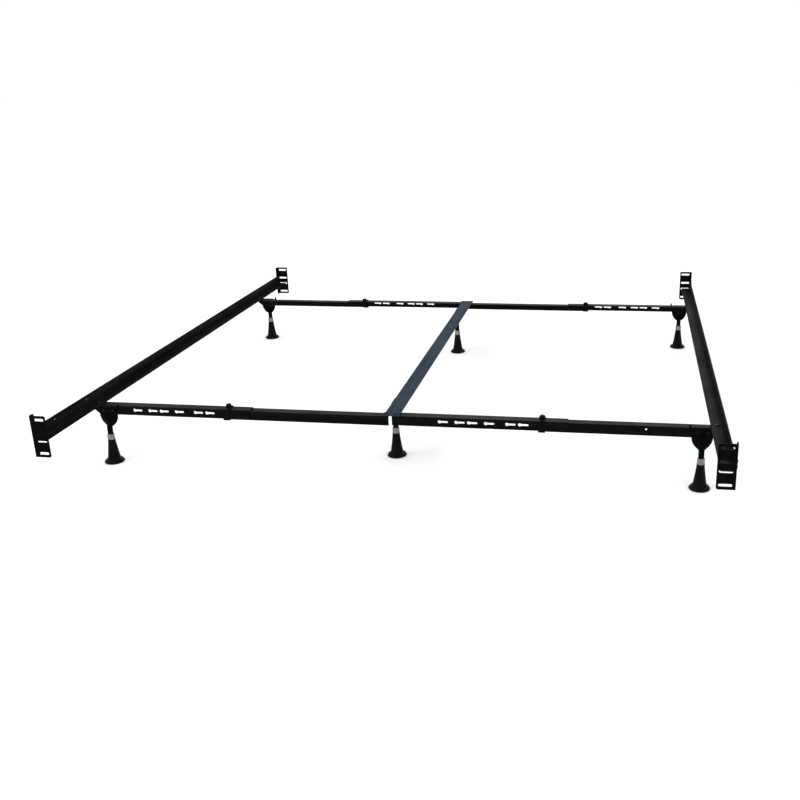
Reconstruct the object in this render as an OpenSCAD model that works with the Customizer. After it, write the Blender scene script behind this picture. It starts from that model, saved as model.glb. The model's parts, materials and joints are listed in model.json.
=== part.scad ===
// Adjustable metal bed frame: two steel angle side rails on telescoping cross arms,
// a centre support rail and six legs with trumpet glides.
// Origin: middle of the frame at floor level. +X to the right side, +Y to the head, +Z up.

/* [Frame] */
// Width over the upright flanges of the two side rails
frame_w = 1956; // [1900:1:2000]
// Length over the mounting plates at head and foot
frame_l = 2058; // [1980:1:2140]
// Height of the underside of the side rails above the floor
rail_z = 187.5; // [180:0.5:200]
// Distance from the middle of the frame to the outer face of each cross arm
arm_face = 720; // [660:1:760]

/* [Side rails] */
// Height of the upright flange and width of the flat flange
rail_h = 38; // [34:1:42]
// Thickness of the rail steel
rail_t = 3; // [2.5:0.1:3.5]
// Diameter of the small holes along the upright flange
rail_hole_d = 6; // [4:0.5:7]

/* [Cross arms] */
// Length of each of the eight arms
arm_len = 528; // [500:1:540]
// Width of an arm's flat top flange
arm_w = 35; // [32:1:36]
// Height of an arm's upright flange
arm_h = 29; // [27:1:32]
// Thickness of the arm steel
arm_t = 2.8; // [2.2:0.1:3]
// Gap between the two arms of a telescoping pair
nest_gap = 0.3; // [0.2:0.1:0.5]

/* [Mounting plates] */
// Width of the plate that the headboard or footboard bolts to
plate_w = 50; // [46:1:54]
// Height of the plate
plate_h = 127; // [120:1:134]
// Height of the plate's lower edge above the floor
plate_z = 138.5; // [134:0.5:146]
// Thickness of the plate steel
plate_t = 3.2; // [2.8:0.1:3.6]
// Length of each bolt slot, end to end
slot_len = 36; // [32:1:38]
// Width of each bolt slot
slot_w = 8.5; // [7:0.5:10]

/* [Legs] */
// Distance from the middle of the frame to the corner legs
leg_x = 917.5; // [912:0.5:922]
// Distance from the middle of the frame to the centre legs, along the centre rail
centre_leg_y = 577; // [560:1:590]
// Width of the stamped leg bracket
leg_bracket_w = 61; // [56:1:64]
// Diameter of the steel stem
stem_d = 10; // [8:0.5:11]
// Diameter of the glide's foot
glide_d = 62; // [54:1:66]
// Height of the glide
glide_h = 77.5; // [70:0.5:84]

/* [Hidden] */
SIDES = ["left", "right"];
ENDS = ["front", "back"];

$fn = 48;
eps = 0.01;
run_gap = 0.05;             // radial clearance of every shaft in its hole
half_w = frame_w / 2;
half_l = frame_l / 2;
bend_r = 4;                 // outer radius of a rolled corner
rail_end = half_l - plate_t - 1; // the rails stop just short of the plates' inner bend

// arms: the keyholed one lies on top, the plain one nests under it
arm_top = rail_z - nest_gap;
plain_drop = arm_t + nest_gap;
arm_start = 5.5;            // inner arms start this far from the middle
pivot_in = 14;              // X of the pivots under the centre rail
pivot_out = half_w - 19;    // X of the pivots under the side rails
arm_end = half_w - 4;       // outer arms end this far out
pivot_y = 15;               // pivot, inward from the arm's outer face
pivot_d = 8;
inner_pivot_at = pivot_in - arm_start;
outer_pivot_at = arm_end - pivot_out;
leg_from_pivot_end = arm_end - leg_x;

// keyholes, measured from the arm's pivot end
keyhole_first = 141;
keyhole_steps = [0, 50.8, 88.9, 139.7, 203.2, 241.3];
keyhole_len = 31;
keyhole_head_d = 10.5;
keyhole_slot_d = 6.4;
keyhole_z = arm_top - 12.7;

collar_w = 21;
collar_t = 2;
collar_lip_t = 1.2;
knob_d = 20;
knob_h = 9.5;
knob_in = 25;               // knob, inward from the arm's outer face
spigot_d = 8;

// centre rail: an angle with its flat flange on the inner arms
centre_left = -20.5;
centre_w = 49.5;
centre_h = 28;
centre_flange_half = 640;

leg_drop = 8;               // stem axis, outward from the arm's outer face
bracket_t = 2.5;
bracket_top = 186.7;
shoulder_z = 158;
sleeve_low = glide_h + nest_gap;
sleeve_high = sleeve_low + 17.7;
tube_d = 17.5;
tube_low = sleeve_high + nest_gap;
tube_high = 146;
tube_blind = 125;
stem_low = 15.3;
leg_rivet_d = 6;
leg_rivet_x = 15;
leg_rivet_z = 172;

// Mirrors a right-hand front part to the side and end asked for
module at_corner(sx, sy) {
    mirror([sx < 0 ? 1 : 0, 0, 0])
        mirror([0, sy > 0 ? 1 : 0, 0])
            children();
}

// Rolled angle section: flat flange along +X, upright flange along +Y, bend at the origin
module angle_section(flat_w, upright_h, t) {
    translate([bend_r, 0])
        square([flat_w - bend_r, t]);
    translate([0, bend_r])
        square([t, upright_h - bend_r]);
    intersection() {
        square([bend_r, bend_r]);
        difference() {
            translate([bend_r, bend_r])
                circle(bend_r);
            translate([bend_r, bend_r])
                circle(bend_r - t);
        }
    }
}

module slot_2d(length, width) {
    reach = (length - width) / 2;
    for (s = [-1, 1])
        translate([s * reach, 0])
            circle(width / 2);
    square([2 * reach, width], center = true);
}

// Domed head standing on z = 0
module dome(d, h) {
    r = (d * d / 4 + h * h) / (2 * h);
    intersection() {
        translate([0, 0, h - r])
            sphere(r);
        cylinder(d = d + 2, h = h);
    }
}

// Rivet along +Z: its shank runs from 0 to length, with a head outside each end
module rivet(shank_d, length, head_d, head_h) {
    translate([0, 0, -head_h / 2])
        cylinder(d = shank_d, h = length + head_h);
    translate([0, 0, length])
        dome(head_d, head_h);
    mirror([0, 0, 1])
        dome(head_d, head_h);
}

// ---- side rails, drawn for the right side ----

module side_rail() {
    color([0.06, 0.06, 0.065])
        difference() {
            translate([half_w, rail_end, rail_z])
                rotate([90, 0, 0])
                    linear_extrude(2 * rail_end)
                        mirror([1, 0])
                            angle_section(rail_h, rail_h, rail_t);
            for (y = [-916, -739, -376, 0, 376, 739, 916])
                translate([half_w - 2 * rail_t, y, rail_z + 25.5])
                    rotate([0, 90, 0])
                        cylinder(d = rail_hole_d, h = 3 * rail_t);
            for (s = [-1, 1])
                translate([pivot_out, s * (arm_face - pivot_y), rail_z - 1])
                    cylinder(d = pivot_d + 2 * run_gap, h = rail_t + 2);
            for (p = bracket_rivet_places())
                for (s = [-1, 1])
                    translate([half_w - 2 * rail_t, s * p[0], p[1]])
                        rotate([0, 90, 0])
                            cylinder(d = 7 + 2 * run_gap, h = 3 * rail_t);
        }
}

function bracket_rivet_places() = [for (dz = [11, 27.5]) [half_l - 13, rail_z + dz]];

// Plate with a side flange that laps the rail's outer face
module bracket() {
    side_len = 22;
    color([0.05, 0.05, 0.055])
        difference() {
            union() {
                translate([half_w + plate_t - plate_w, -half_l + plate_t, plate_z])
                    rotate([90, 0, 0])
                        linear_extrude(plate_t)
                            bracket_plate_2d();
                translate([half_w, -half_l + bend_r, plate_z])
                    rotate([90, 0, 90])
                        linear_extrude(plate_t)
                            bracket_side_2d(side_len - bend_r, plate_h);
                translate([half_w + plate_t - bend_r, -half_l + bend_r, plate_z])
                    bracket_bend();
            }
            for (z = slot_heights())
                translate([slot_x(), -half_l + 2 * plate_t, z])
                    rotate([90, 0, 0])
                        linear_extrude(3 * plate_t)
                            slot_2d(slot_len, slot_w);
            for (p = bracket_rivet_places())
                translate([half_w - plate_t, -p[0], p[1]])
                    rotate([0, 90, 0])
                        cylinder(d = 7 + 2 * run_gap, h = 3 * plate_t);
        }
}

function slot_heights() = [for (dz = [-51.5, -13.5, 13.5, 51.5]) plate_z + plate_h / 2 + dz];
function slot_x() = half_w + plate_t - plate_w + 5 + slot_len / 2;

// Plate outline, rounded at its free corners
module bracket_plate_2d() {
    corner = 6;
    w = plate_w - bend_r;
    translate([corner, 0])
        square([w - corner, plate_h]);
    translate([0, corner])
        square([w, plate_h - 2 * corner]);
    for (z = [corner, plate_h - corner])
        translate([corner, z])
            circle(corner);
}

module bracket_side_2d(length, height) {
    corner = 6;
    square([length - corner, height]);
    translate([0, corner])
        square([length, height - 2 * corner]);
    for (z = [corner, height - corner])
        translate([length - corner, z])
            circle(corner);
}

module bracket_bend() {
    intersection() {
        translate([0, -bend_r, 0])
            cube([bend_r, bend_r, plate_h]);
        difference() {
            cylinder(r = bend_r, h = plate_h);
            translate([0, 0, -1])
                cylinder(r = bend_r - plate_t, h = plate_h + 2);
        }
    }
}

module bracket_rivets() {
    grip = rail_t + plate_t;
    color([0.09, 0.09, 0.095])
        for (s = [-1, 1])
            for (p = bracket_rivet_places())
                translate([half_w - rail_t, s * p[0], p[1]])
                    rotate([0, 90, 0])
                        rivet(7, grip, 13, 2.6);
}

// Rivet down through a rail at z = rail_z and an arm that lies drop lower.
// A shoulder fills the gap above the lower arm.
module pivot_rivet(drop, head_d) {
    low = arm_top - drop - arm_t - 0.1;
    shoulder_low = arm_top - drop + 0.1;
    translate([0, 0, low])
        rivet(pivot_d, rail_z + rail_t - low, head_d, 3);
    translate([0, 0, shoulder_low])
        cylinder(d = 18, h = max(rail_z - shoulder_low - eps, 0.1));
}

// The keyholed outer arms are at the front left and the back right
function outer_drop(sx, sy) = sx * sy > 0 ? 0 : plain_drop;
function inner_drop(sx, sy) = plain_drop - outer_drop(sx, sy);

module pivot_rivets(sx) {
    color([0.09, 0.09, 0.095])
        for (sy = [-1, 1])
            translate([sx * pivot_out, sy * (arm_face - pivot_y), 0])
                pivot_rivet(outer_drop(sx, sy), 16);
}

module centre_rivets() {
    color([0.16, 0.18, 0.2])
        for (sx = [-1, 1])
            for (sy = [-1, 1])
                translate([sx * pivot_in, sy * (arm_face - pivot_y), 0])
                    pivot_rivet(inner_drop(sx, sy), 16);
}

// ---- cross arms: local x runs from the pivot end, local y from the outer face inward ----

module keyhole_2d() {
    translate([keyhole_head_d / 2, 0])
        circle(keyhole_head_d / 2);
    translate([keyhole_len - keyhole_slot_d / 2, 0])
        circle(keyhole_slot_d / 2);
    translate([keyhole_head_d / 2, -keyhole_slot_d / 2])
        square([keyhole_len - keyhole_head_d / 2 - keyhole_slot_d / 2, keyhole_slot_d]);
}

// Leg rivet holes and the sloping end of the upright on an outer arm that lies drop lower
module leg_end_cuts(leg_at, drop) {
    slope_end = leg_at - leg_bracket_w / 2 + 1;
    for (s = [-1, 1])
        translate([leg_at + s * leg_rivet_x, drop + arm_t + 1, leg_rivet_z - arm_top + drop])
            rotate([90, 0, 0])
                cylinder(d = leg_rivet_d + 2 * run_gap, h = arm_t + 2);
    translate([0, drop + arm_t + 1, 0])
        rotate([90, 0, 0])
            linear_extrude(arm_t + 2)
                polygon([
                    [-1, -7], [0, -7], [slope_end, -arm_h],
                    [slope_end, -arm_h - 2], [-1, -arm_h - 2]
                ]);
}

module arm_blank(w, h) {
    rotate([90, 0, 90])
        linear_extrude(arm_len)
            mirror([0, 1])
                angle_section(w, h, arm_t);
}

module pivot_end_cuts(pivot_at) {
    chamfer = 13;
    translate([pivot_at, pivot_y, -2 * arm_t])
        cylinder(d = pivot_d + 2 * run_gap, h = 3 * arm_t);
    translate([0, arm_w + 1, -2 * arm_t])
        linear_extrude(3 * arm_t)
            polygon([[-1, -chamfer - 2], [-1, 1], [chamfer + 2, 1]]);
}

// Keyholed arm, top face at z = 0; leg_at is 0 where it carries no leg
module keyhole_arm(pivot_at, leg_at) {
    color([0.05, 0.05, 0.055]) {
        difference() {
            arm_blank(arm_w, arm_h);
            pivot_end_cuts(pivot_at);
            if (leg_at > 0)
                leg_end_cuts(leg_at, 0);
            for (step = keyhole_steps)
                translate([keyhole_first + step, arm_t + 1, keyhole_z - arm_top])
                    rotate([90, 0, 0])
                        linear_extrude(arm_t + 2)
                            keyhole_2d();
        }
        translate([arm_len - 8, eps, 0.55 * -arm_h])
            rotate([90, 0, 0])
                dome(7, 1.4);
    }
}

// Plain arm of the same height, nested under the keyholed one; its top face is at z = 0
module plain_arm(pivot_at, hole_at, leg_at) {
    color([0.06, 0.06, 0.065])
        difference() {
            translate([0, plain_drop, 0])
                arm_blank(arm_w - plain_drop + 1, arm_h);
            pivot_end_cuts(pivot_at);
            translate([arm_len + 1, plain_drop - 1, -arm_h - 1])
                rotate([90, 0, 0])
                    mirror([0, 0, 1])
                        linear_extrude(arm_t + 2)
                            polygon([[-11, 0], [1, 0], [1, 12]]);
            if (leg_at > 0)
                leg_end_cuts(leg_at, plain_drop);
            if (hole_at > 0)
                translate([hole_at, plain_drop - 1, -9.5])
                    rotate([-90, 0, 0])
                        cylinder(d = rail_hole_d, h = arm_t + 2);
        }
}

module inner_arm(sx, sy) {
    drop = inner_drop(sx, sy);
    at_corner(sx, sy)
        translate([arm_start, -arm_face, arm_top - drop])
            if (drop == 0)
                keyhole_arm(inner_pivot_at, 0);
            else
                plain_arm(inner_pivot_at, 0, 0);
}

module outer_arm(sx, sy) {
    drop = outer_drop(sx, sy);
    at_corner(sx, sy)
        translate([arm_end, -arm_face, arm_top - drop])
            mirror([1, 0, 0])
                if (drop == 0)
                    keyhole_arm(outer_pivot_at, leg_from_pivot_end);
                else
                    plain_arm(outer_pivot_at, sy < 0 ? 215 : 0, leg_from_pivot_end);
}

// X of the plain arm's free end: it is the inner arm where the outer one has the keyholes
function collar_x(sx, sy) = outer_drop(sx, sy) > 0
    ? arm_end - arm_len + 1
    : arm_start + arm_len - 1 - collar_w;

// Steel band round the overlap, hooked under both flanges
module collar(sx, sy) {
    gap = nest_gap;
    low = arm_top - plain_drop - arm_h - nest_gap;
    lip_y = plain_drop + arm_t;
    color([0.05, 0.05, 0.055])
        at_corner(sx, sy)
            translate([collar_x(sx, sy), -arm_face, 0])
                difference() {
                    rotate([90, 0, 90])
                        linear_extrude(collar_w)
                            collar_2d(gap, low, lip_y);
                    translate([collar_w / 2, knob_in, arm_top - 1])
                        cylinder(d = spigot_d + 2 * run_gap, h = 6);
                }
}

module collar_2d(gap, low, lip_y) {
    edge = arm_w + 1 + gap;
    top = arm_top + gap;
    translate([-gap - collar_t, low])
        square([collar_t, top - low + collar_t / 2]);
    translate([-gap - collar_t / 2, top])
        square([edge + gap + collar_t / 2, collar_t]);
    translate([-gap - collar_t / 2, top + collar_t / 2])
        circle(collar_t / 2);
    translate([edge, arm_top - 9])
        square([collar_t, 9 + gap + collar_t]);
    translate([edge - 6, arm_top - 9 - collar_t])
        square([6 + collar_t, collar_t]);
    translate([-gap - collar_t, low - collar_lip_t])
        square([lip_y + gap + 2 * collar_t, collar_lip_t + eps]);
    translate([lip_y + gap, low - collar_lip_t])
        square([collar_t, 10]);
}

// Round knob on the collar, with a spigot in the collar's hole
module lock_knob(sx, sy) {
    seat = arm_top + nest_gap + collar_t + 0.1;
    grip_d = knob_d - 3;
    color([0.04, 0.04, 0.045])
        at_corner(sx, sy)
            translate([collar_x(sx, sy) + collar_w / 2, -arm_face + knob_in, 0]) {
                translate([0, 0, seat])
                    cylinder(d = knob_d, h = 2.5);
                translate([0, 0, seat])
                    cylinder(d = grip_d, h = knob_h - 2);
                translate([0, 0, seat + knob_h - 2 - eps])
                    dome(grip_d, 2);
                translate([-2, -knob_d / 2 + 2, seat])
                    cube([4, knob_d - 4, knob_h]);
                translate([0, 0, seat - collar_t])
                    cylinder(d = spigot_d, h = collar_t + eps);
            }
}

// ---- centre rail ----

module centre_rail() {
    end_y = arm_face + 1;
    color([0.2, 0.24, 0.3])
        difference() {
            translate([centre_left, end_y, rail_z + rail_t])
                rotate([90, 0, 0])
                    linear_extrude(2 * end_y)
                        mirror([0, 1])
                            angle_section(centre_w, centre_h, rail_t);
            for (s = [-1, 1]) {
                translate([centre_left - 1, s > 0 ? centre_flange_half : -end_y - 1, 0])
                    cube([2 * bend_r, end_y + 1 - centre_flange_half, rail_z]);
                for (x = [-pivot_in, pivot_in])
                    translate([x, s * (arm_face - pivot_y), rail_z - 1])
                        cylinder(d = pivot_d + 2 * run_gap, h = rail_t + 2);
                for (u = [-leg_rivet_x, leg_rivet_x])
                    translate([centre_left - 1, s * centre_leg_y + u, leg_rivet_z])
                        rotate([0, 90, 0])
                            cylinder(d = leg_rivet_d + 2 * run_gap, h = rail_t + 2);
            }
        }
}

// ---- legs: local x along the arm, local y outward from its face ----

// Shield outline: straight sides with rounded top corners, then a bowl down to the tube
module shield_2d() {
    half = leg_bracket_w / 2;
    bowl_r = 45;
    bowl_end = 60;
    corner = 7;
    steps = 12;
    bowl = [for (i = [steps:-1:0]) let (a = i * bowl_end / steps)
        [half - bowl_r + bowl_r * cos(a), shoulder_z - bowl_r * sin(a)]];
    top = [for (i = [0:6]) let (a = i * 90 / 6)
        [half - corner + corner * cos(a), bracket_top - corner + corner * sin(a)]];
    right = concat(bowl, top);
    left = [for (i = [len(right) - 1:-1:0]) [-right[i][0], right[i][1]]];
    polygon(concat(right, left));
}

// Stamped bracket: a shield on the arm's face and a blind tube for the stem.
// tube_y is the stem's distance outward from the face.
module leg_bracket(tube_y, tab) {
    color([0.05, 0.05, 0.055])
        difference() {
            union() {
                rotate([90, 0, 0])
                    linear_extrude(bracket_t)
                        shield_2d();
                translate([0, -tube_y, tube_low])
                    cylinder(d = tube_d, h = tube_high - tube_low);
                translate([0, -tube_y, tube_high])
                    cylinder(d1 = tube_d, d2 = 2, h = 10);
                if (tab)
                    stop_tab();
            }
            translate([0, -tube_y, tube_low - 1])
                cylinder(d = stem_d + 2 * run_gap, h = tube_blind - tube_low + 1);
            for (s = [-1, 1])
                translate([s * leg_rivet_x, 1, leg_rivet_z])
                    rotate([90, 0, 0])
                        cylinder(d = leg_rivet_d + 2 * run_gap, h = bracket_t + 2);
        }
}

// Upturned ear at the bracket's inner top corner; it stays clear of the side rail when folded
module stop_tab() {
    ear_h = 8;
    root_h = 13;
    translate([-leg_bracket_w / 2 - 8, -bracket_t, bracket_top - root_h]) {
        cube([10, bracket_t, root_h]);
        cube([7, bracket_t, root_h + ear_h]);
    }
}

module leg_rivet_pair(back_t) {
    color([0.09, 0.09, 0.095])
        for (s = [-1, 1])
            translate([s * leg_rivet_x, back_t, leg_rivet_z])
                rotate([90, 0, 0])
                    rivet(leg_rivet_d, back_t + bracket_t, 11, 2.2);
}

module centre_leg_rivets() {
    for (s = [-1, 1])
        centre_leg(s)
            leg_rivet_pair(rail_t);
}

module stem(tube_y) {
    color([0.55, 0.55, 0.57])
        translate([0, -tube_y, stem_low])
            cylinder(d = stem_d, h = tube_blind - stem_low - nest_gap);
}

module sleeve(tube_y) {
    h = sleeve_high - sleeve_low;
    color([0.72, 0.66, 0.61])
        translate([0, -tube_y, sleeve_low])
            difference() {
                union() {
                    cylinder(d = 22.5, h = h - 2);
                    cylinder(d1 = 24, d2 = 22.5, h = h / 2);
                    translate([0, 0, h - 2])
                        cylinder(d1 = 22.5, d2 = 19, h = 2);
                }
                translate([0, 0, -1])
                    cylinder(d = stem_d + 2 * run_gap, h = h + 2);
            }
}

// Trumpet glide: a slim cone that flares into a round foot, with a blind socket for the stem
module glide(tube_y) {
    foot_r = glide_d / 2;
    waist_r = 20;
    waist_z = 17;
    neck_r = 12.2;
    flare_r = foot_r - waist_r;
    color([0.06, 0.055, 0.05])
        translate([0, -tube_y, 0])
            difference() {
                rotate_extrude($fn = 64)
                    difference() {
                        polygon([
                            [0, 0], [foot_r - 1.5, 0], [foot_r, 1.5], [foot_r, 4],
                            [foot_r, waist_z], [waist_r, waist_z], [neck_r, glide_h], [0, glide_h]
                        ]);
                        translate([foot_r, waist_z])
                            circle(flare_r, $fn = 64);
                    }
                translate([0, 0, stem_low - 0.3])
                    cylinder(d = stem_d + 2 * run_gap, h = glide_h);
            }
}

// Corner legs stand on the outer arm's face, which lies deeper on a plain arm
module corner_leg(sx, sy) {
    at_corner(sx, sy)
        translate([leg_x, -arm_face + outer_drop(sx, sy), 0])
            children();
}

// Centre legs hang on the centre rail's flange and face left
module centre_leg(sy) {
    translate([centre_left, sy * centre_leg_y, 0])
        rotate([0, 0, -90])
            children();
}

corner_tube_y = leg_drop;
centre_tube_y = -1.5;

at_corner(-1, -1) side_rail();  // side_rail_left
at_corner(1, -1) side_rail();  // side_rail_right
at_corner(-1, -1) bracket();  // bracket_front_left
at_corner(1, -1) bracket();  // bracket_front_right
at_corner(-1, 1) bracket();  // bracket_back_left
at_corner(1, 1) bracket();  // bracket_back_right
at_corner(-1, -1) bracket_rivets();  // bracket_rivets_left
at_corner(1, -1) bracket_rivets();  // bracket_rivets_right
pivot_rivets(-1);  // pivot_rivets_left
pivot_rivets(1);  // pivot_rivets_right
centre_rail();
centre_rivets();
inner_arm(-1, -1);  // arm_front_left_inner
outer_arm(-1, -1);  // arm_front_left_outer
inner_arm(1, -1);  // arm_front_right_inner
outer_arm(1, -1);  // arm_front_right_outer
inner_arm(-1, 1);  // arm_back_left_inner
outer_arm(-1, 1);  // arm_back_left_outer
inner_arm(1, 1);  // arm_back_right_inner
outer_arm(1, 1);  // arm_back_right_outer
collar(-1, -1);  // collar_front_left
collar(1, -1);  // collar_front_right
collar(-1, 1);  // collar_back_left
collar(1, 1);  // collar_back_right
lock_knob(-1, -1);  // lock_knob_front_left
lock_knob(1, -1);  // lock_knob_front_right
lock_knob(-1, 1);  // lock_knob_back_left
lock_knob(1, 1);  // lock_knob_back_right
corner_leg(-1, -1) leg_bracket(corner_tube_y, true);  // leg_bracket_front_left
corner_leg(1, -1) leg_bracket(corner_tube_y, true);  // leg_bracket_front_right
corner_leg(-1, 1) leg_bracket(corner_tube_y, true);  // leg_bracket_back_left
corner_leg(1, 1) leg_bracket(corner_tube_y, true);  // leg_bracket_back_right
centre_leg(-1) leg_bracket(centre_tube_y, false);  // leg_bracket_front_centre
centre_leg(1) leg_bracket(centre_tube_y, false);  // leg_bracket_back_centre
corner_leg(-1, -1) leg_rivet_pair(arm_t);  // leg_rivets_front_left
corner_leg(1, -1) leg_rivet_pair(arm_t);  // leg_rivets_front_right
corner_leg(-1, 1) leg_rivet_pair(arm_t);  // leg_rivets_back_left
corner_leg(1, 1) leg_rivet_pair(arm_t);  // leg_rivets_back_right
centre_leg_rivets();  // leg_rivets_centre
corner_leg(-1, -1) stem(corner_tube_y);  // stem_front_left
corner_leg(1, -1) stem(corner_tube_y);  // stem_front_right
corner_leg(-1, 1) stem(corner_tube_y);  // stem_back_left
corner_leg(1, 1) stem(corner_tube_y);  // stem_back_right
centre_leg(-1) stem(centre_tube_y);  // stem_front_centre
centre_leg(1) stem(centre_tube_y);  // stem_back_centre
corner_leg(-1, -1) sleeve(corner_tube_y);  // sleeve_front_left
corner_leg(1, -1) sleeve(corner_tube_y);  // sleeve_front_right
corner_leg(-1, 1) sleeve(corner_tube_y);  // sleeve_back_left
corner_leg(1, 1) sleeve(corner_tube_y);  // sleeve_back_right
centre_leg(-1) sleeve(centre_tube_y);  // sleeve_front_centre
centre_leg(1) sleeve(centre_tube_y);  // sleeve_back_centre
corner_leg(-1, -1) glide(corner_tube_y);  // glide_front_left
corner_leg(1, -1) glide(corner_tube_y);  // glide_front_right
corner_leg(-1, 1) glide(corner_tube_y);  // glide_back_left
corner_leg(1, 1) glide(corner_tube_y);  // glide_back_right
centre_leg(-1) glide(centre_tube_y);  // glide_front_centre
centre_leg(1) glide(centre_tube_y);  // glide_back_centre
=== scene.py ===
import json
import math

import bmesh
import bpy
from mathutils import Matrix, Vector


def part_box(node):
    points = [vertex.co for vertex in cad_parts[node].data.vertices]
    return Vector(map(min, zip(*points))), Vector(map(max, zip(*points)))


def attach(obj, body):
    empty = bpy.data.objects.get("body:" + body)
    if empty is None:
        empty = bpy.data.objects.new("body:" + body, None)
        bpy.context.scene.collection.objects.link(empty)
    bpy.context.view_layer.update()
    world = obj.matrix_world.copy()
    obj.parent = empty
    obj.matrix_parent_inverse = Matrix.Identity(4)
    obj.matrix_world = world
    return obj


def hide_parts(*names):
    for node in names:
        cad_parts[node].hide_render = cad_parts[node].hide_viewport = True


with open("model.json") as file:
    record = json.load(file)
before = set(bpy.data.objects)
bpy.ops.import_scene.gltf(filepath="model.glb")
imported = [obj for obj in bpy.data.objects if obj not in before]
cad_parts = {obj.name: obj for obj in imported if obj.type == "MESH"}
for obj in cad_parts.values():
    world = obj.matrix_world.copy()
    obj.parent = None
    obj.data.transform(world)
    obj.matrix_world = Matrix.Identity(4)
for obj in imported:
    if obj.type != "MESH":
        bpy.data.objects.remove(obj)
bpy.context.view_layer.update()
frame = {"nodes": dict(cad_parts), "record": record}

MM = 0.001
NODES = frame["nodes"]
BEHAVIOUR = frame["record"]["behaviour"]
BODY_OF = {node: body for body, nodes in BEHAVIOUR["bodies"].items() for node in nodes}
CORNERS = ["front_left", "front_right", "back_left", "back_right"]
CENTRES = ["front_centre", "back_centre"]


# ---- materials ----

def new_material(name, roughness, specular, metallic=0.0):
    mat = bpy.data.materials.new(name)
    mat.use_nodes = True
    shader = mat.node_tree.nodes["Principled BSDF"]
    shader.inputs["Roughness"].default_value = roughness
    shader.inputs["Specular IOR Level"].default_value = specular
    shader.inputs["Metallic"].default_value = metallic
    return mat, mat.node_tree.nodes, mat.node_tree.links, shader


def noise(nodes, links, scale, detail=4.0, stretch=(1, 1, 1)):
    """Noise in object space; stretch shrinks the pattern along an axis."""
    coords = nodes.new("ShaderNodeTexCoord")
    mapping = nodes.new("ShaderNodeMapping")
    mapping.inputs["Scale"].default_value = stretch
    texture = nodes.new("ShaderNodeTexNoise")
    texture.inputs["Scale"].default_value = scale
    texture.inputs["Detail"].default_value = detail
    links.new(coords.outputs["Object"], mapping.inputs["Vector"])
    links.new(mapping.outputs["Vector"], texture.inputs["Vector"])
    return texture.outputs["Fac"]


def ramp(nodes, links, value, low, high, start=0.35, end=0.65):
    """Maps value from start..end to the colours low..high."""
    node = nodes.new("ShaderNodeValToRGB")
    node.color_ramp.elements[0].position = start
    node.color_ramp.elements[0].color = (*low, 1)
    node.color_ramp.elements[1].position = end
    node.color_ramp.elements[1].color = (*high, 1)
    links.new(value, node.inputs["Fac"])
    return node.outputs["Color"]


def spread(nodes, links, value, low, high):
    node = nodes.new("ShaderNodeMapRange")
    node.inputs["From Min"].default_value = 0.3
    node.inputs["From Max"].default_value = 0.7
    node.inputs["To Min"].default_value = low
    node.inputs["To Max"].default_value = high
    links.new(value, node.inputs["Value"])
    return node.outputs["Result"]


def bump(nodes, links, height, strength, distance, under=None):
    node = nodes.new("ShaderNodeBump")
    node.inputs["Strength"].default_value = strength
    node.inputs["Distance"].default_value = distance
    links.new(height, node.inputs["Height"])
    if under is not None:
        links.new(under, node.inputs["Normal"])
    return node.outputs["Normal"]


def powder_coat(name, dark, light, rough, specular, grain):
    """Painted rolled steel: rolling streaks along grain under an orange-peel coat; on the rails the streak
    colours also paint reflection.
    """
    mat, nodes, links, shader = new_material(name, rough, specular)
    stretch = tuple(1.2 if axis == grain else 90.0 for axis in "XYZ")
    streaks = noise(nodes, links, 1.0, 6.0, stretch)
    patches = noise(nodes, links, 9.0, 3.0)
    peel = noise(nodes, links, 1400.0, 2.0)
    links.new(ramp(nodes, links, streaks, dark, light), shader.inputs["Base Color"])
    links.new(spread(nodes, links, patches, rough - 0.07, rough + 0.09), shader.inputs["Roughness"])
    rolled = bump(nodes, links, streaks, 0.22, 0.0006)
    links.new(bump(nodes, links, peel, 0.28, 0.00012, rolled), shader.inputs["Normal"])
    return mat


def moulded(name, dark, light, rough, specular, speckle=60.0):
    """Moulded plastic: faint flow marks and a fine matt texture."""
    mat, nodes, links, shader = new_material(name, rough, specular)
    flow = noise(nodes, links, speckle, 5.0, (1, 1, 0.35))
    fine = noise(nodes, links, 2600.0, 2.0)
    links.new(ramp(nodes, links, flow, dark, light), shader.inputs["Base Color"])
    links.new(spread(nodes, links, flow, rough - 0.05, rough + 0.08), shader.inputs["Roughness"])
    links.new(bump(nodes, links, fine, 0.25, 0.0001), shader.inputs["Normal"])
    return mat


def zinc(name):
    """Turned, zinc-plated steel: rings round the stem and a bluish mottle."""
    mat, nodes, links, shader = new_material(name, 0.32, 0.5, 1.0)
    rings = noise(nodes, links, 1.0, 3.0, (20, 20, 900))
    mottle = noise(nodes, links, 220.0)
    tint = ramp(nodes, links, mottle, (0.40, 0.41, 0.44), (0.62, 0.62, 0.60))
    links.new(tint, shader.inputs["Base Color"])
    links.new(spread(nodes, links, mottle, 0.25, 0.42), shader.inputs["Roughness"])
    links.new(bump(nodes, links, rings, 0.3, 0.0001), shader.inputs["Normal"])
    return mat


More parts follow.
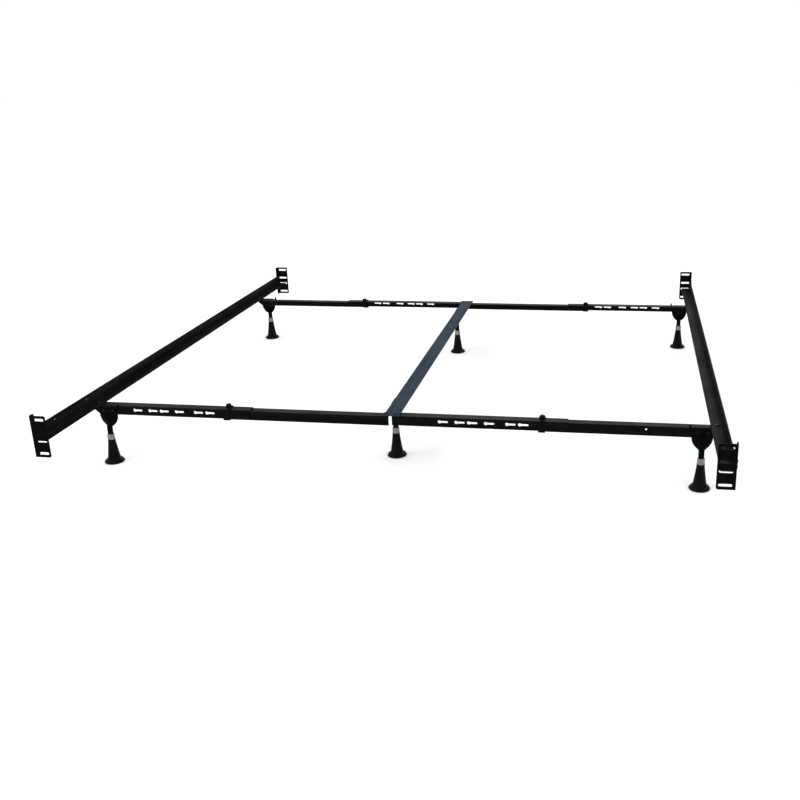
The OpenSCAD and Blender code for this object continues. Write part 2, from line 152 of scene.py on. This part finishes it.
BLACK_LOW, BLACK_HIGH = (0.0008, 0.0008, 0.0009), (0.0030, 0.0030, 0.0033)
# The side rails' lengthwise streaks are rolling grain, with their colour range widened to paint the streaky
# reflections along the flanges.
RAIL_GRAIN_AND_REFLECTION_LOW, RAIL_GRAIN_AND_REFLECTION_HIGH = (0.0006, 0.0006, 0.0006), (0.0095, 0.0095, 0.0097)
black_x = powder_coat("black_coat_arms", BLACK_LOW, BLACK_HIGH, 0.40, 0.035, "X")
black_y = powder_coat("black_coat_rails_grain_and_painted_reflection", RAIL_GRAIN_AND_REFLECTION_LOW, RAIL_GRAIN_AND_REFLECTION_HIGH, 0.38, 0.013, "Y")
black_z = powder_coat("black_coat_stampings", BLACK_LOW, (0.0024, 0.0024, 0.0027), 0.44, 0.02, "Z")
# The centre rail's blue-grey colour is painted reflection: it stands for the bright surroundings mirrored in
# the black paint of its top.
centre_rail_painted_reflection = powder_coat("black_coat_painted_reflection", (0.010, 0.020, 0.034), (0.019, 0.033, 0.053), 0.42, 0.014, "Y")
rivet_paint = powder_coat("rivet_coat", (0.0015, 0.0015, 0.0018), (0.0055, 0.0055, 0.006), 0.34, 0.06, "Z")
glide_plastic = moulded("glide_plastic", (0.0022, 0.0018, 0.0012), (0.0056, 0.0047, 0.0034), 0.38, 0.035)
knob_plastic = moulded("knob_plastic", (0.0015, 0.0015, 0.0016), (0.0045, 0.0045, 0.0048), 0.42, 0.05)
sleeve_plastic = moulded("sleeve_plastic", (0.17, 0.135, 0.118), (0.25, 0.20, 0.175), 0.5, 0.3, 150.0)
stem_zinc = zinc("stem_zinc")


# ---- mesh helpers ----

def finished(obj, node, *others):
    """Makes obj ride with its CAD node and stand for it."""
    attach(obj, BODY_OF[node])
    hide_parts(node, *others)
    return obj


def object_from(name, bm, mat, sharp_deg=35.0):
    bmesh.ops.recalc_face_normals(bm, faces=bm.faces)
    mesh = bpy.data.meshes.new(name)
    bm.to_mesh(mesh)
    bm.free()
    mesh.polygons.foreach_set("use_smooth", [True] * len(mesh.polygons))
    mesh.set_sharp_from_angle(angle=math.radians(sharp_deg))
    mesh.materials.append(mat)
    obj = bpy.data.objects.new(name, mesh)
    bpy.context.scene.collection.objects.link(obj)
    return obj


def apply_modifiers(obj):
    graph = bpy.context.evaluated_depsgraph_get()
    baked = bpy.data.meshes.new_from_object(obj.evaluated_get(graph))
    obj.modifiers.clear()
    obj.data = baked


def bevelled(obj, width, segments=2, angle_deg=40.0):
    """Rounds the sharp edges and keeps the flat faces flat-shaded."""
    bevel = obj.modifiers.new("round", "BEVEL")
    bevel.width = width
    bevel.segments = segments
    bevel.limit_method = "ANGLE"
    bevel.angle_limit = math.radians(angle_deg)
    bevel.use_clamp_overlap = True
    normals = obj.modifiers.new("normals", "WEIGHTED_NORMAL")
    normals.keep_sharp = True
    apply_modifiers(obj)
    return obj


def pressed_steel(node, mat, width=0.45 * MM):
    """The CAD shape of a rolled or stamped steel part with its edges rounded."""
    bm = bmesh.new()
    bm.from_mesh(NODES[node].data)
    bmesh.ops.remove_doubles(bm, verts=bm.verts, dist=1e-6)
    bmesh.ops.dissolve_limit(bm, angle_limit=math.radians(0.3), verts=bm.verts, edges=bm.edges)
    obj = object_from(node + "_steel", bm, mat, 60.0)
    bevelled(obj, width)
    return finished(obj, node)


def lathe_into(bm, profile, centre, axis="Z", steps=96):
    """Adds a closed turned body: profile is (radius, height) in metres, from pole to pole or a loop."""
    turn = {"Z": Matrix.Identity(3), "X": Matrix.Rotation(math.pi / 2, 3, "Y"),
            "Y": Matrix.Rotation(-math.pi / 2, 3, "X")}[axis]
    rings = []
    for r, h in profile:
        if r < 1e-7:
            rings.append([bm.verts.new(turn @ Vector((0, 0, h)) + centre)])
            continue
        ring = []
        for i in range(steps):
            a = 2 * math.pi * i / steps
            ring.append(bm.verts.new(turn @ Vector((r * math.cos(a), r * math.sin(a), h)) + centre))
        rings.append(ring)
    closed = len(rings[0]) > 1
    pairs = list(zip(rings, rings[1:])) + ([(rings[-1], rings[0])] if closed else [])
    for low, high in pairs:
        for i in range(steps):
            j = (i + 1) % steps
            corners = [low[i % len(low)], low[j % len(low)]]
            corners += [high[j % len(high)], high[i % len(high)]]
            corners = list(dict.fromkeys(corners))
            if len(corners) > 2:
                bm.faces.new(corners)


def arc(cr, ch, r, start, end, steps=8):
    """Points (radius, height) on an arc round (cr, ch), angles in degrees."""
    angles = [math.radians(start + (end - start) * i / steps) for i in range(steps + 1)]
    return [(cr + r * math.cos(a), ch + r * math.sin(a)) for a in angles]


def middle(node):
    low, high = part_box(node)
    return (low + high) / 2


def loose_boxes(node):
    """The box of each separate solid of a CAD node."""
    bm = bmesh.new()
    bm.from_mesh(NODES[node].data)
    bmesh.ops.remove_doubles(bm, verts=bm.verts, dist=1e-6)
    left = set(bm.verts)
    boxes = []
    while left:
        stack = [left.pop()]
        found = []
        while stack:
            vert = stack.pop()
            found.append(vert.co.copy())
            for edge in vert.link_edges:
                other = edge.other_vert(vert)
                if other in left:
                    left.remove(other)
                    stack.append(other)
        boxes.append([Vector(min(c[i] for c in found) for i in range(3)),
                      Vector(max(c[i] for c in found) for i in range(3))])
    bm.free()
    return sorted(boxes, key=lambda b: tuple(round(x, 4) for x in b[0]))


# ---- rivets ----

def rivet_profile(low, high, shank_r, head_r, head_h, shoulder=None):
    """A formed rivet from its lower head to its upper one; shoulder is (low, high, radius)."""
    edge = 0.18 * head_h
    crown = [(head_r * math.sin(a), math.cos(a)) for a in
             [math.radians(8 + 82 * i / 9) for i in range(10)]]
    top = [(0, high)] + [(r, high - head_h + edge + (head_h - edge) * c) for r, c in crown]
    top += [(head_r, high - head_h), (shank_r, high - head_h)]
    bottom = [(r, low + high - h) for r, h in reversed(top)]
    body = []
    if shoulder:
        s_low, s_high, s_r = shoulder
        body = [(shank_r, s_high), (s_r, s_high), (s_r, s_low), (shank_r, s_low)]
    return top + body + bottom


# a pivot rivet shorter than this goes through an arm that touches the rail
SHORT_PIVOT = 13.5 * MM
ARM_GAP_TOUCHING, ARM_GAP_NESTED = 0.2 * MM, 3.2 * MM


def rivets(node, mat, axis, shank_r, head_r, head_h, shoulder_r=None):
    """Every rivet of a group; shoulder_r fills the gap between the arm and the rail."""
    bm = bmesh.new()
    index = "XYZ".index(axis)
    for low, high in loose_boxes(node):
        centre = (low + high) / 2
        half = (high[index] - low[index]) / 2
        shoulder = None
        if shoulder_r:
            rail_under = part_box("side_rail_left")[0].z
            reach = rail_under - centre.z
            shoulder_h = ARM_GAP_TOUCHING if half * 2 < SHORT_PIVOT else ARM_GAP_NESTED
            shoulder = (reach - shoulder_h, reach - 0.02 * MM, shoulder_r)
        profile = rivet_profile(-half, half, shank_r, head_r, head_h, shoulder)
        lathe_into(bm, profile, centre, axis, 48)
    obj = object_from(node + "_formed", bm, mat)
    return finished(obj, node)


# ---- legs ----

TUBE_R = 8.75 * MM
STAMPING_TOP = 186.7 * MM
STAMPING_END = 112 * MM
SHIELD_HALF = 30.5 * MM


def glide(node):
    """Trumpet glide: slim hollow cone, flared foot with a rolled rim and a recessed sole."""
    low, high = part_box(node)
    foot_r = (high.x - low.x) / 2
    top = high.z
    bore = 5.1 * MM
    waist_r, waist_z = 19.3 * MM, 18 * MM
    neck_r = 11.4 * MM
    profile = [(0, 1.6 * MM), (foot_r - 8 * MM, 1.6 * MM), (foot_r - 6.5 * MM, 0.15 * MM)]
    profile += [(foot_r - 5 * MM, 0), (foot_r - 3 * MM, 0)]
    profile += arc(foot_r - 2.3 * MM, 2.3 * MM, 2.3 * MM, -80, 70, 9)
    flare_r = 10.5 * MM
    profile += arc(waist_r + flare_r + 0.4 * MM, waist_z, flare_r, 258, 182, 12)
    taper = [i / 8 for i in range(1, 9)]
    crown_z = top - 3 * MM
    profile += [(waist_r + (neck_r - waist_r) * t ** 0.92, waist_z + (crown_z - waist_z) * t)
                for t in taper]
    profile += [(neck_r + 0.7 * MM, crown_z + 0.1 * MM), (neck_r + 0.7 * MM, crown_z + 1.6 * MM)]
    profile += arc(neck_r - 0.3 * MM, top - 1 * MM, 1 * MM, 20, 90, 4)
    profile += [(bore + 0.6 * MM, top), (bore, top - 0.6 * MM), (bore, 15.2 * MM), (0, 15.2 * MM)]
    bm = bmesh.new()
    centre = middle(node)
    lathe_into(bm, profile, Vector((centre.x, centre.y, 0)))
    obj = object_from(node + "_moulded", bm, glide_plastic, 40.0)
    return finished(obj, node)


def sleeve(node):
    """Cream socket sleeve with a rounded lip at each end and two shallow grooves."""
    low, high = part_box(node)
    r = (high.x - low.x) / 2 - 0.4 * MM
    h = high.z - low.z
    bore = 5.08 * MM
    profile = [(bore, 0.5 * MM), (bore + 0.5 * MM, 0), (r - 0.6 * MM, 0)]
    profile += arc(r - 0.8 * MM, 0.8 * MM, 0.8 * MM, -60, 0, 4)
    for groove in (0.3, 0.62):
        z = h * groove
        profile += [(r - 0.15 * MM, z - 0.9 * MM), (r - 0.75 * MM, z - 0.35 * MM),
                    (r - 0.75 * MM, z + 0.35 * MM), (r - 0.25 * MM, z + 0.9 * MM)]
    profile += arc(r - 1.9 * MM, h - 1.7 * MM, 1.6 * MM, 5, 88, 6)
    profile += [(bore + 0.5 * MM, h), (bore, h - 0.5 * MM)]
    bm = bmesh.new()
    centre = middle(node)
    lathe_into(bm, profile, Vector((centre.x, centre.y, low.z)), "Z", 72)
    obj = object_from(node + "_moulded", bm, sleeve_plastic, 40.0)
    return finished(obj, node)


def stem(node):
    """Zinc-plated stem with a chamfer at each end and a retaining groove."""
    low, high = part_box(node)
    r = (high.x - low.x) / 2
    h = high.z - low.z
    profile = [(0, 0), (r - 0.8 * MM, 0), (r, 0.8 * MM), (r, 6 * MM), (r - 0.7 * MM, 6.4 * MM),
               (r - 0.7 * MM, 8 * MM), (r, 8.4 * MM), (r, h - 0.8 * MM), (r - 0.8 * MM, h), (0, h)]
    bm = bmesh.new()
    centre = middle(node)
    lathe_into(bm, profile, Vector((centre.x, centre.y, low.z)), "Z", 64)
    obj = object_from(node + "_turned", bm, stem_zinc, 40.0)
    return finished(obj, node)


def smooth(t):
    """Eases from 0 to 1."""
    t = min(1.0, max(0.0, t))
    return t * t * (3 - 2 * t)


def shield_half_width(z, top, half):
    """Half the stamping's width at a height: rounded top corners, straight sides, bowl, neck."""
    corner, shoulder, bowl_r = 7 * MM, 158 * MM, 45 * MM
    if z > top - corner:
        rise = z - (top - corner)
        return half - corner + math.sqrt(max(corner ** 2 - rise ** 2, 0))
    if z > shoulder:
        return half
    drop = min(shoulder - z, 44.9 * MM)
    return max(half - bowl_r + math.sqrt(bowl_r ** 2 - drop ** 2), TUBE_R)


def shield_depth(u, z, half_w, top, tube_out):
    """How far the stamping's skin stands off the arm's face at a point across it."""
    plate = 2.5 * MM
    front = tube_out + TUBE_R
    crown = plate + (front - plate) * smooth((top - 18 * MM - z) / (52 * MM))
    share = min(1.0, abs(u) / max(half_w, 1e-6))
    dish = plate + (crown - plate) * (0.5 + 0.5 * math.cos(math.pi * share)) ** 0.85
    ridge = 1.1 * MM * math.exp(-((u / (3.2 * MM)) ** 2)) * smooth((top - 22 * MM - z) / (20 * MM))
    barrel = tube_out + math.sqrt(max(TUBE_R ** 2 - min(abs(u), TUBE_R) ** 2, 0))
    blend = smooth((126 * MM - z) / (12 * MM))
    return (1 - blend) * (dish + min(ridge, front - dish)) + blend * barrel


def leg_bracket(node, stem_node, along, outward, face, tab):
    """Dished shield stamping that closes into a tube round the stem."""
    tube_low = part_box(node)[0].z
    stem_at = middle(stem_node)
    top, half = STAMPING_TOP, SHIELD_HALF
    tube_out = (stem_at - face).dot(outward)
    thick = 2.2 * MM
    rows, cols = 44, 28
    bm = bmesh.new()

    def place(u, out, z):
        return face + along * u + outward * out + Vector((0, 0, z))

    heights = [top - (top - STAMPING_END) * (i / rows) for i in range(rows + 1)]
    heights[0] = top - 0.02 * MM
    skins = []
    for back in (False, True):
        grid = []
        for z in heights:
            w = shield_half_width(z, top, half)
            row = []
            for j in range(cols + 1):
                s = -1 + 2 * j / cols
                u = w * math.sin(s * math.pi / 2)
                out = shield_depth(u, z, w, top, tube_out)
                if back:
                    out = max(out - thick, 0.0)
                    u *= 1 - 0.4 * MM / max(w, 1e-6)
                row.append(bm.verts.new(place(u, out, z)))
            grid.append(row)
        skins.append(grid)
    front, rear = skins
    for i in range(rows):
        for j in range(cols):
            bm.faces.new([front[i][j], front[i][j + 1], front[i + 1][j + 1], front[i + 1][j]])
            bm.faces.new([rear[i][j], rear[i + 1][j], rear[i + 1][j + 1], rear[i][j + 1]])
    for i in range(rows):
        for j in (0, cols):
            bm.faces.new([front[i][j], front[i + 1][j], rear[i + 1][j], rear[i][j]])
    for j in range(cols):
        for i in (0, rows):
            bm.faces.new([front[i][j], front[i][j + 1], rear[i][j + 1], rear[i][j]])
    bore = 5.06 * MM
    tube = [(bore, tube_low + 0.4 * MM), (bore + 0.4 * MM, tube_low)]
    tube += [(TUBE_R - 0.8 * MM, tube_low), (TUBE_R, tube_low + 0.8 * MM)]
    tube += [(TUBE_R, 121 * MM), (TUBE_R - 0.5 * MM, 123 * MM), (bore, 125.2 * MM)]
    lathe_into(bm, tube, Vector((stem_at.x, stem_at.y, 0)), "Z", 56)
    if tab:
        ear(bm, place, top, half)
    obj = object_from(node + "_stamped", bm, black_z, 42.0)
    return finished(obj, node)


def ear(bm, place, top, half):
    """Upturned ear at the inner top corner, narrowed at its tip."""
    thick = 2.4 * MM
    spine = [(0.1 * MM, top + rise * MM) for rise in (-13, 1, 4.5, 7.8)]
    inner, outer = -(half + 7.6 * MM), -(half + 1.2 * MM)
    left = []
    right = []
    for i, (out, z) in enumerate(spine):
        root = -(half - 3 * MM) if i == 0 else outer
        trim = 1.2 * MM if i == len(spine) - 1 else 0.0
        depths = (out, out + thick)
        left.append([bm.verts.new(place(inner + trim, depth, z)) for depth in depths])
        right.append([bm.verts.new(place(root - trim, depth, z)) for depth in depths])
    last = len(spine) - 1
    for i in range(last):
        bm.faces.new([left[i][0], left[i + 1][0], right[i + 1][0], right[i][0]])
        bm.faces.new([left[i][1], right[i][1], right[i + 1][1], left[i + 1][1]])
        bm.faces.new([left[i][0], left[i][1], left[i + 1][1], left[i + 1][0]])
        bm.faces.new([right[i][0], right[i + 1][0], right[i + 1][1], right[i][1]])
    for i in (0, last):
        bm.faces.new([left[i][0], right[i][0], right[i][1], left[i][1]])


# ---- lock knobs ----

def lock_knob(node):
    """Round thumb knob: base flange, fluted cap with a flat top and a low bar across it, on a spigot."""
    low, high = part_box(node)
    centre = middle(node)
    base = low.z + 2 * MM
    r = (high.x - low.x) / 2
    cap_r = r - 1.5 * MM
    top = high.z
    profile = [(0.0, low.z), (3.6 * MM, low.z), (4.0 * MM, low.z + 0.4 * MM), (4.0 * MM, base)]
    profile += [(r - 0.4 * MM, base), (r, base + 0.4 * MM), (r, base + 1.7 * MM)]
    profile += [(r - 0.6 * MM, base + 2.3 * MM), (cap_r, base + 2.5 * MM), (cap_r, top - 2.4 * MM)]
    profile += arc(cap_r - 1.5 * MM, top - 2.4 * MM, 1.5 * MM, 15, 90, 5)
    profile += [(3.0 * MM, top - 0.9 * MM), (0.0, top - 0.9 * MM)]
    bm = bmesh.new()
    steps, flutes = 144, 16
    lathe_into(bm, profile, Vector((centre.x, centre.y, 0)), "Z", steps)
    for vert in bm.verts:
        flat = Vector((vert.co.x - centre.x, vert.co.y - centre.y))
        if vert.co.z > base + 2.4 * MM and flat.length > cap_r - 1.2 * MM:
            dip = 0.4 * MM * (0.5 + 0.5 * math.cos(flutes * math.atan2(flat.y, flat.x)))
            scale = (flat.length - dip) / flat.length
            vert.co.x = centre.x + flat.x * scale
            vert.co.y = centre.y + flat.y * scale
    bar = bmesh.ops.create_cube(bm, size=1.0)["verts"]
    size = Vector((4 * MM, 2 * (cap_r - 1 * MM), 2 * MM))
    bar_at = Vector((centre.x, centre.y, top - size.z / 2))
    for vert in bar:
        vert.co = bar_at + Vector(vert.co[i] * size[i] for i in range(3))
    obj = object_from(node + "_moulded", bm, knob_plastic, 35.0)
    bevelled(obj, 0.3 * MM, 2, 50.0)
    return finished(obj, node)


# ---- build ----

for side in ("left", "right"):
    pressed_steel("side_rail_" + side, black_y)
    rivets("bracket_rivets_" + side, rivet_paint, "X", 3.5 * MM, 6.5 * MM, 2.6 * MM)
    rivets("pivot_rivets_" + side, rivet_paint, "Z", 4 * MM, 8 * MM, 3 * MM, 9 * MM)
pressed_steel("centre_rail", centre_rail_painted_reflection)
rivets("centre_rivets", rivet_paint, "Z", 4 * MM, 8 * MM, 3 * MM, 9 * MM)
rivets("leg_rivets_centre", rivet_paint, "X", 3 * MM, 5.5 * MM, 2.2 * MM)

for corner in CORNERS:
    pressed_steel("bracket_" + corner, black_z, 0.6 * MM)
    pressed_steel("arm_" + corner + "_inner", black_x)
    pressed_steel("arm_" + corner + "_outer", black_x)
    pressed_steel("collar_" + corner, black_x, 0.4 * MM)
    lock_knob("lock_knob_" + corner)
    rivets("leg_rivets_" + corner, rivet_paint, "Y", 3 * MM, 5.5 * MM, 2.2 * MM)

for place_name in CORNERS + CENTRES:
    glide("glide_" + place_name)
    sleeve("sleeve_" + place_name)
    stem("stem_" + place_name)

for corner in CORNERS:
    outward = Vector((0, -1 if corner.startswith("front") else 1, 0))
    along = Vector((-1 if corner.endswith("left") else 1, 0, 0))
    low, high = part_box("leg_bracket_" + corner)
    face_y = high.y if outward.y < 0 else low.y
    stem_x = middle("stem_" + corner).x
    leg_bracket("leg_bracket_" + corner, "stem_" + corner, along, outward,
                Vector((stem_x, face_y, 0)), True)

for centre in CENTRES:
    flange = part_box("centre_rail")[0].x
    stem_y = middle("stem_" + centre).y
    leg_bracket("leg_bracket_" + centre, "stem_" + centre, Vector((0, 1, 0)), Vector((-1, 0, 0)),
                Vector((flange, stem_y, 0)), False)


# ---- stage ----

def stage_floor():
    half = 40.0
    bm = bmesh.new()
    corners = ((-1, -1), (1, -1), (1, 1), (-1, 1))
    bm.faces.new([bm.verts.new((x * half, y * half, -0.0005)) for x, y in corners])
    mat, nodes, links, shader = new_material("pale_floor", 0.9, 0.1)
    grain = noise(nodes, links, 3.0)
    links.new(ramp(nodes, links, grain, (0.93, 0.93, 0.93), (0.95, 0.95, 0.95)), shader.inputs["Base Color"])
    floor = object_from("floor", bm, mat)


def area_light(name, location, target, size, power):
    data = bpy.data.lights.new(name, "AREA")
    data.shape = "RECTANGLE"
    data.size, data.size_y = size
    data.energy = power
    light = bpy.data.objects.new(name, data)
    bpy.context.scene.collection.objects.link(light)
    light.location = location
    light.rotation_euler = (Vector(target) - Vector(location)).to_track_quat("-Z", "Y").to_euler()


def studio():
    world = bpy.data.worlds.new("studio")
    world.use_nodes = True
    sky = world.node_tree.nodes["Background"]
    sky.inputs["Color"].default_value = (1.0, 1.0, 1.0, 1)
    sky.inputs["Strength"].default_value = 1.08
    bpy.context.scene.world = world
    area_light("key", (-2.5, -2.0, 3.6), (0, 0, 0.1), (3.0, 3.0), 55)
    area_light("fill", (3.0, -3.0, 2.6), (0, 0, 0.1), (2.5, 2.5), 25)
    area_light("back", (0.5, 4.0, 3.0), (0, 0, 0.1), (4.0, 1.5), 30)


def camera():
    """Pinhole camera at the product shot's angle, with the small shift of its framing."""
    place = Vector((0.68335, -3.33554, 1.19389))
    yaw, pitch, roll = -0.17586, 0.33713, -0.02557
    data = bpy.data.cameras.new("camera")
    data.sensor_width = 36.0
    data.lens = 42.99165
    data.shift_x, data.shift_y = -0.075825, -0.006425
    data.clip_start, data.clip_end = 0.05, 200
    cam = bpy.data.objects.new("camera", data)
    bpy.context.scene.collection.objects.link(cam)
    level = math.cos(pitch)
    ahead = Vector((math.sin(yaw) * level, math.cos(yaw) * level, -math.sin(pitch)))
    right = Vector((math.cos(yaw), -math.sin(yaw), 0))
    up = right.cross(ahead)
    turned_right = math.cos(roll) * right + math.sin(roll) * up
    turned_up = -math.sin(roll) * right + math.cos(roll) * up
    axes = Matrix((turned_right, turned_up, -ahead)).transposed().to_4x4()
    cam.matrix_world = Matrix.Translation(place) @ axes
    bpy.context.scene.camera = cam


stage_floor()
studio()
camera()
bpy.context.scene.view_settings.view_transform = "Standard"
